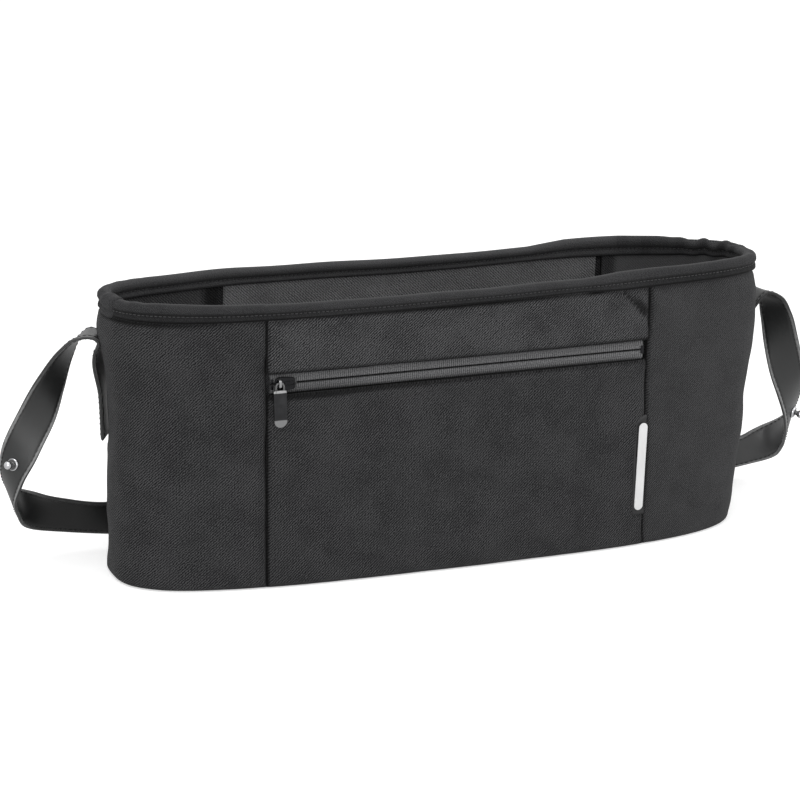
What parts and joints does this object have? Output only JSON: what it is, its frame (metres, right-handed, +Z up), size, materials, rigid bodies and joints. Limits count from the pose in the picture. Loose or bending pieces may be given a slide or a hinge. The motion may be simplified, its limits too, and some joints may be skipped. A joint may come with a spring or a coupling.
{
  "type": "stroller organizer",
  "caption": "Soft oblong caddy for a stroller handle, with an open top, dividers, a zipped front pocket and a leather strap loop at each end.",
  "frame": {"origin": "centre of the caddy's underside, on the surface it stands on", "axes": "+X along the caddy towards its right end, +Z up, -Y towards the zipped front"},
  "size_m": [0.5196, 0.1085, 0.171],
  "materials": {
    "twill": "charcoal twill, matt",
    "lining": "plain woven lining, matt",
    "binding": "folded and stitched binding",
    "zip_tape": "woven polyester tape",
    "gunmetal": "gunmetal plate, satin",
    "rubber_tab": "matt moulded",
    "label_white": "white, bare",
    "strap_leather": "smooth leather look, stitched, painted edges",
    "stud_chrome": "polished"
  },
  "bodies": {
    "caddy": {"base_panel": "twill", "pocket_lower_panel": "twill", "pocket_upper_panel": "twill", "left_end_panel": "twill", "right_end_panel": "twill", "back_panel": "twill", "pocket_lining": "lining", "inner_back_panel": "lining", "left_divider": "lining", "right_divider": "lining", "rim_binding": "binding", "zip_tape_upper": "zip_tape", "zip_tape_lower": "zip_tape", "zip_coil_upper": "zip_tape", "zip_coil_lower": "zip_tape", "zip_bottom_stop": "gunmetal", "zip_top_stop_upper": "gunmetal", "zip_top_stop_lower": "gunmetal", "label_tab": "rubber_tab", "label_plate": "label_white", "left_strap": "strap_leather", "right_strap": "strap_leather", "left_stud": "stud_chrome", "right_stud": "stud_chrome", "left_stud_screw": "stud_chrome", "right_stud_screw": "stud_chrome"},
    "slider": {"zip_slider": "gunmetal"},
    "puller": {"zip_puller": "gunmetal"}
  },
  "joints": [
    {"name": "zip_slide", "type": "slide", "parent": "caddy", "child": "slider", "axis": [1, 0, 0], "range_m": [0, 0.215]},
    {"name": "puller_swing", "type": "hinge", "parent": "slider", "child": "puller", "pos_m": [-0.1129, -0.0499, 0.1243], "axis": [-1, 0, 0], "range_deg": [0, 165]}
  ]
}
